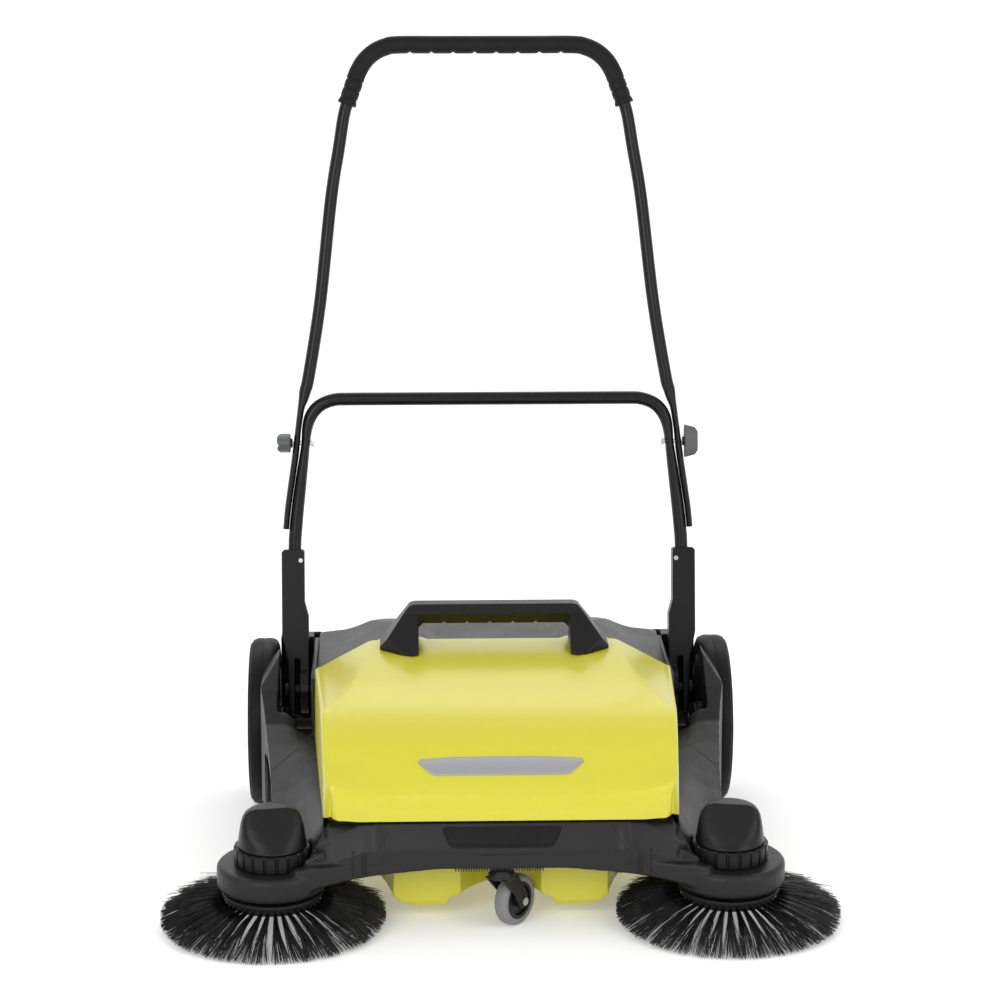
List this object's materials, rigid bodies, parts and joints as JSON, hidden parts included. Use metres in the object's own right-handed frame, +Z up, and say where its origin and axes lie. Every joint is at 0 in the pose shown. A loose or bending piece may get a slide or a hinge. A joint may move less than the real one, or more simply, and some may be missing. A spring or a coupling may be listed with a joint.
{
  "type": "walk-behind sweeper",
  "caption": "Push-along floor sweeper with side brushes, rear roller brush, lift-off dirt container, front castor and a folding two-stage push handle.",
  "frame": {"origin": "centre of the bounding box in plan, on the floor the wheels and brushes stand on", "axes": "+Z up, front of the machine (side brushes and castor) faces -Y, +X is the right-hand side seen from the front"},
  "size_m": [0.86, 0.8472, 1.077],
  "materials": {
    "black_plastic": "fine grain",
    "satin_plastic": "satin",
    "yellow_plastic": "satin gloss",
    "black_tube": "gloss black",
    "grey_plastic": "fine grain",
    "silver_plate": "satin silver",
    "black_rubber": "matt",
    "tyre_rubber": "matt",
    "grey_rubber": "matt grey",
    "bristle": "bristle",
    "steel": "zinc plated"
  },
  "bodies": {
    "chassis": {"front_bar": "black_plastic", "front_pad": "black_rubber", "side_frame_left": "black_plastic", "side_frame_right": "black_plastic", "roller_hood": "satin_plastic", "rear_flap": "black_rubber", "roller_bush_left": "grey_plastic", "roller_bush_right": "grey_plastic", "pivot_pin_left": "steel", "pivot_pin_right": "steel", "wheel_axle_left": "steel", "wheel_axle_right": "steel", "drive_belt_left": "black_rubber", "drive_belt_right": "black_rubber"},
    "container": {"container_shell": "yellow_plastic", "carry_handle": "satin_plastic", "nameplate": "silver_plate"},
    "lower_handle": {"bracket_left": "satin_plastic", "bracket_right": "satin_plastic", "bracket_screw_left": "steel", "bracket_screw_right": "steel", "lower_tube": "black_tube", "clamp_bolt_left": "steel", "clamp_bolt_right": "steel"},
    "upper_handle": {"upper_tube": "black_tube", "grip_sleeve": "black_rubber", "clamp_spacer_left": "black_plastic", "clamp_spacer_right": "black_plastic"},
    "wing_left": {"wing_knob_left": "grey_plastic"},
    "wing_right": {"wing_knob_right": "grey_plastic"},
    "wheel_left": {"tyre_left": "tyre_rubber", "rim_left": "satin_plastic", "belt_pulley_left": "grey_plastic", "hub_cap_left": "satin_plastic", "drive_gear": "grey_plastic"},
    "wheel_right": {"tyre_right": "tyre_rubber", "rim_right": "satin_plastic", "belt_pulley_right": "grey_plastic", "hub_cap_right": "satin_plastic"},
    "roller": {"roller_shaft": "steel", "roller_core": "grey_plastic", "roller_bristles": "bristle", "roller_pinion": "grey_plastic"},
    "carrier_left": {"brush_spindle_left": "steel"},
    "carrier_right": {"brush_spindle_right": "steel"},
    "brush_left": {"brush_hub_left": "black_plastic", "brush_bristles_left": "bristle"},
    "brush_right": {"brush_hub_right": "black_plastic", "brush_bristles_right": "bristle"},
    "adjuster_left": {"adjuster_ring_left": "satin_plastic", "adjuster_cap_left": "satin_plastic"},
    "adjuster_right": {"adjuster_ring_right": "satin_plastic", "adjuster_cap_right": "satin_plastic"},
    "castor_swivel": {"castor_fork": "black_plastic", "castor_axle": "steel"},
    "castor_wheel": {"castor_core": "black_plastic", "castor_tyre": "grey_rubber"}
  },
  "joints": [
    {"name": "container_lift", "type": "slide", "parent": "chassis", "child": "container", "axis": [0, 0, 1], "range_m": [0, 0.3]},
    {"name": "handle_fold", "type": "hinge", "parent": "chassis", "child": "lower_handle", "pos_m": [0, 0.245, 0.167], "axis": [-1, 0, 0], "range_deg": [-80, 0]},
    {"name": "upper_handle_fold", "type": "hinge", "parent": "lower_handle", "child": "upper_handle", "pos_m": [0, 0.30872, 0.51115], "axis": [-1, 0, 0], "range_deg": [0, 120]},
    {"name": "wing_knob_left_turn", "type": "hinge", "parent": "lower_handle", "child": "wing_left", "pos_m": [-0.289, 0.30872, 0.51115], "axis": [1, 0, 0], "range_deg": [0, 180]},
    {"name": "wing_knob_right_turn", "type": "hinge", "parent": "lower_handle", "child": "wing_right", "pos_m": [0.289, 0.30872, 0.51115], "axis": [1, 0, 0], "range_deg": [0, 180]},
    {"name": "wheel_left_spin", "type": "hinge", "parent": "chassis", "child": "wheel_left", "pos_m": [-0.318, 0.259, 0.118], "axis": [1, 0, 0], "continuous": true},
    {"name": "wheel_right_spin", "type": "hinge", "parent": "chassis", "child": "wheel_right", "pos_m": [0.318, 0.259, 0.118], "axis": [1, 0, 0], "continuous": true},
    {"name": "roller_spin", "type": "hinge", "parent": "chassis", "child": "roller", "pos_m": [0, 0.20728, 0.077], "axis": [1, 0, 0], "continuous": true},
    {"name": "adjuster_left_turn", "type": "hinge", "parent": "chassis", "child": "adjuster_left", "pos_m": [-0.287, -0.28, 0], "axis": [0, -0.0698, 0.9976], "range_deg": [0, 90]},
    {"name": "brush_left_lift", "type": "slide", "parent": "chassis", "child": "carrier_left", "axis": [0, -0.0698, 0.9976], "range_m": [0, 0.008]},
    {"name": "brush_left_spin", "type": "hinge", "parent": "carrier_left", "child": "brush_left", "pos_m": [-0.287, -0.28, 0], "axis": [0, -0.0698, 0.9976], "continuous": true},
    {"name": "adjuster_right_turn", "type": "hinge", "parent": "chassis", "child": "adjuster_right", "pos_m": [0.287, -0.28, 0], "axis": [0, -0.0698, 0.9976], "range_deg": [0, 90]},
    {"name": "brush_right_lift", "type": "slide", "parent": "chassis", "child": "carrier_right", "axis": [0, -0.0698, 0.9976], "range_m": [0, 0.008]},
    {"name": "brush_right_spin", "type": "hinge", "parent": "carrier_right", "child": "brush_right", "pos_m": [0.287, -0.28, 0], "axis": [0, -0.0698, 0.9976], "continuous": true},
    {"name": "castor_swivel_turn", "type": "hinge", "parent": "chassis", "child": "castor_swivel", "pos_m": [0, -0.3, 0.08], "axis": [0, 0, 1], "continuous": true},
    {"name": "castor_wheel_spin", "type": "hinge", "parent": "castor_swivel", "child": "castor_wheel", "pos_m": [0.01671, -0.28008, 0.033], "axis": [0.766, -0.6428, 0], "continuous": true}
  ],
  "couplings": [
    {"joint": "roller_spin", "follows": "wheel_left_spin", "ratio": -2.3},
    {"joint": "brush_left_spin", "follows": "wheel_left_spin", "ratio": 0.94},
    {"joint": "brush_right_spin", "follows": "wheel_right_spin", "ratio": -0.94},
    {"joint": "brush_left_lift", "follows": "adjuster_left_turn", "m_per_rad": 0.00509},
    {"joint": "brush_right_lift", "follows": "adjuster_right_turn", "m_per_rad": 0.00509}
  ]
}
